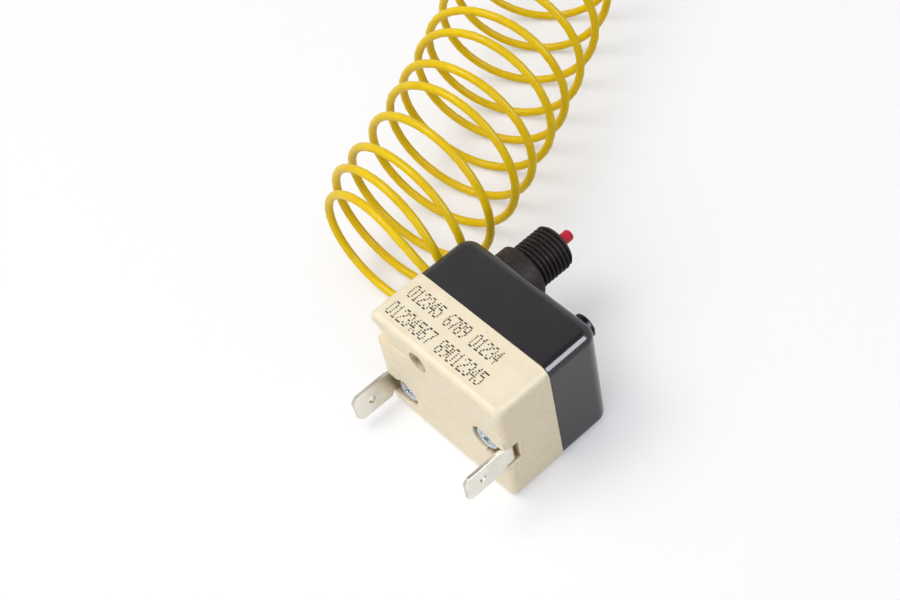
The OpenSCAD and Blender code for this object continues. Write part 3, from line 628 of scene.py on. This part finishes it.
# Housing and fittings
dress(softened("base_moulding", "base_shell", 0.18), urea, "housing", "pale_moulding", "base_moulding")
dress(softened("cap_moulding", "cap_shell", 0.15), phenolic, "housing", "dark_moulding", "cap_moulding")
for side in ("left", "right"):
    dress(softened("terminal_" + side, "tab_" + side, 0.08), nickel, "housing", "nickel_plate",
          "terminal_" + side)
    screw = softened("terminal_screw_" + side, "foot_screw_" + side, 0.08, flats=False)
    dress(screw, zinc, "housing", "zinc_steel", "terminal_screw_" + side)
for side in ("upper", "lower"):
    screw = softened("cap_screw_" + side, "dome_screw_" + side, 0.08, flats=False)
    dress(screw, blackened, "housing", "black_screw", "cap_screw_" + side)
button = softened("reset_plunger", "reset_button", 0.1, flats=False)
dress(button, acetal, "reset", "red_plastic", "reset_plunger")

# Spring, bulb and tie
SPRING_R, SPRING_WIRE_R = 1.8, 0.22
SPRING_START, SPRING_END = 26.07, 36.98
SPRING_TURNS, SPRING_STEPS = 9, 24
spring_points = []
for k in range(SPRING_TURNS * SPRING_STEPS + 1):
    t = 2 * math.pi * k / SPRING_STEPS
    along = SPRING_START + (SPRING_END - SPRING_START) * k / (SPRING_TURNS * SPRING_STEPS)
    spring_points.append(place(NECK_X + SPRING_R * math.cos(t), along, NECK_Z + SPRING_R * math.sin(t)))
spring = tube_mesh("return_spring", spring_points, SPRING_WIRE_R * MM, 8)
dress(spring, spring_steel, "housing", "spring_steel", "reset_spring")
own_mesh(spring)

BULB_R, BULB_L, BULB_NECK_R = 3.0, 76.0, 1.2
bulb = turned("bulb_shell", 0, 0, [
    (0, 0), (1.15, 0), (BULB_NECK_R, 0.1), (BULB_NECK_R, 3.7), (1.3, 4.1), (1.65, 4.5), (2.55, 5.5),
    (2.88, 5.9), (BULB_R, 6.4), (BULB_R, BULB_L - 1.0), (2.88, BULB_L - 0.55), (2.5, BULB_L - 0.2),
    (2.0, BULB_L), (0, BULB_L)], 48)
bulb.data.transform(Matrix.Translation(place(*bulb_point(BULB_LEAD, -COIL_R, BULB_R)))
                    @ Matrix.Rotation(BULB_TURN - math.pi / 2, 4, "Z") @ Matrix.Translation(-place(0, 0, 0)))
dress(bulb, copper, "housing", "copper", "sensing_bulb")

# The tie is a wire loop round the coil's four strands, drawn out a little towards their corners.
TIE_WIRE_R, TIE_HALF_W, TIE_HALF_H, TIE_Z = 0.25, 2.05, 1.8, 2.07
TIE_CORNERS, TIE_STEPS = 0.12, 32
tie_points = []
for k in range(TIE_STEPS + 1):
    t = 2 * math.pi * k / TIE_STEPS
    square = 1 + TIE_CORNERS * math.sin(2 * t) ** 2
    tie_points.append(place(COIL_CENTRE[0] - COIL_R + TIE_HALF_W * math.cos(t) * square, COIL_CENTRE[1],
                            TIE_Z + TIE_HALF_H * math.sin(t) * square))
tie = tube_mesh("coil_tie", tie_points, TIE_WIRE_R * MM, 8)
dress(tie, phenolic, "housing", "dark_moulding")

dress(capillary, vinyl, "housing", "yellow_sleeve", "capillary_lead", "capillary_curl", "capillary_tail",
      "capillary_coil")

# Floor and light
floor_data = bpy.data.meshes.new("floor")
FLOOR_HALF = 3
corners = [(x * FLOOR_HALF, y * FLOOR_HALF, 0) for x, y in ((-1, -1), (1, -1), (1, 1), (-1, 1))]
floor_data.from_pydata(corners, [], [(0, 1, 2, 3)])
floor = bpy.data.objects.new("floor", floor_data)
bpy.context.scene.collection.objects.link(floor)
paper = bpy.data.materials.new("white_paper")
paper.use_nodes = True
tree = paper.node_tree
tree.nodes.clear()
rays = add(tree, "ShaderNodeLightPath").outputs
seen = add(tree, "ShaderNodeMath", {0: rays["Is Camera Ray"], 1: rays["Is Glossy Ray"]}, operation="ADD")
spot = add(tree, "ShaderNodeTexCoord").outputs["Object"]
far = add(tree, "ShaderNodeVectorMath", {0: spot}, operation="LENGTH")
# The lamps fall off far from the part; the paper's own glow makes up for it there.
level = add(tree, "ShaderNodeMapRange", {"Value": far.outputs["Value"], "From Min": 0.4, "From Max": 1.4,
                                         "To Min": 0.28, "To Max": 0.95})
lift = add(tree, "ShaderNodeMath", {0: seen.outputs[0], 1: level.outputs["Result"]}, operation="MULTIPLY",
           use_clamp=True)
matt = add(tree, "ShaderNodeBsdfDiffuse", {"Color": (0.72, 0.72, 0.725, 1)})
glow = add(tree, "ShaderNodeEmission", {"Color": (0.93, 0.945, 1, 1), "Strength": lift.outputs[0]})
both = add(tree, "ShaderNodeAddShader", {0: matt.outputs[0], 1: glow.outputs[0]})
add(tree, "ShaderNodeOutputMaterial", {"Surface": both.outputs[0]})
floor_data.materials.append(paper)

world = bpy.data.worlds.new("studio")
bpy.context.scene.world = world
world.use_nodes = True
tree = world.node_tree
tree.nodes.clear()
rays = add(tree, "ShaderNodeLightPath").outputs
seen = add(tree, "ShaderNodeMath", {0: rays["Is Camera Ray"], 1: rays["Is Transmission Ray"]},
           operation="ADD", use_clamp=True)
height = add(tree, "ShaderNodeSeparateXYZ", {0: add(tree, "ShaderNodeTexCoord").outputs["Generated"]})
# White walls all round, and a dimmer ceiling that reflections show.
ceiling = add(tree, "ShaderNodeMapRange", {"Value": height.outputs["Z"], "From Min": 0.62, "From Max": 0.92,
                                           "To Min": 1.0, "To Max": 0.25}, interpolation_type="SMOOTHSTEP")
soft = add(tree, "ShaderNodeBackground", {"Color": (0.95, 0.97, 1, 1), "Strength": 0.4})
shown = add(tree, "ShaderNodeBackground", {"Color": (1, 1, 1, 1), "Strength": ceiling.outputs["Result"]})
white = add(tree, "ShaderNodeBackground", {"Color": (1, 1, 1, 1), "Strength": 1.0})
mix = add(tree, "ShaderNodeMixShader", {0: rays["Is Glossy Ray"], 1: soft.outputs[0], 2: shown.outputs[0]})
mix = add(tree, "ShaderNodeMixShader", {0: seen.outputs[0], 1: mix.outputs[0], 2: white.outputs[0]})
add(tree, "ShaderNodeOutputWorld", {"Surface": mix.outputs[0]})


def lamp(name, where, aim, size, power, colour=(1, 1, 1)):
    """A rectangular lamp that faces a place."""
    data = bpy.data.lights.new(name, "AREA")
    data.shape = "RECTANGLE"
    data.size, data.size_y = size
    data.energy = power
    data.color = colour
    made = bpy.data.objects.new(name, data)
    made.location = where
    made.rotation_euler = (Vector(aim) - Vector(where)).to_track_quat("-Z", "Y").to_euler()
    bpy.context.scene.collection.objects.link(made)
    return made


WARM_WHITE = (1.0, 0.985, 0.96)
lamp("key", (-0.4, -0.4, 1.2), (0, 0, 0.01), (0.7, 0.7), 5.2, WARM_WHITE)
# A wide sheet overhead for soft, far-reaching shadows; gloss doesn't show it.
sheet = lamp("sheet", (-0.1, -0.1, 1.2), (0, 0, 0), (2.0, 2.0), 7.7, WARM_WHITE)
sheet.visible_glossy = False
# A small lamp that only gloss shows, for the pale glints on the sleeve, the screws and the tabs' edges.
glint = lamp("glint", (-0.4, -0.4, 1.2), (0, 0.05, 0.02), (0.3, 0.3), 9.0)
glint.visible_diffuse = False
lamp("fill", (0.3, -0.8, 0.45), (0, 0, 0.01), (0.6, 0.4), 2.1)
# A tall light box at the right that only gloss shows: it draws the bright line along the black edge.
light_box = lamp("light_box", (0.73, 0.36, 0.65), (0.018, 0, 0.026), (0.5, 0.65), 12.0, (0.9, 0.94, 1.0))
light_box.visible_diffuse = False

bpy.context.scene.view_settings.view_transform = "Standard"
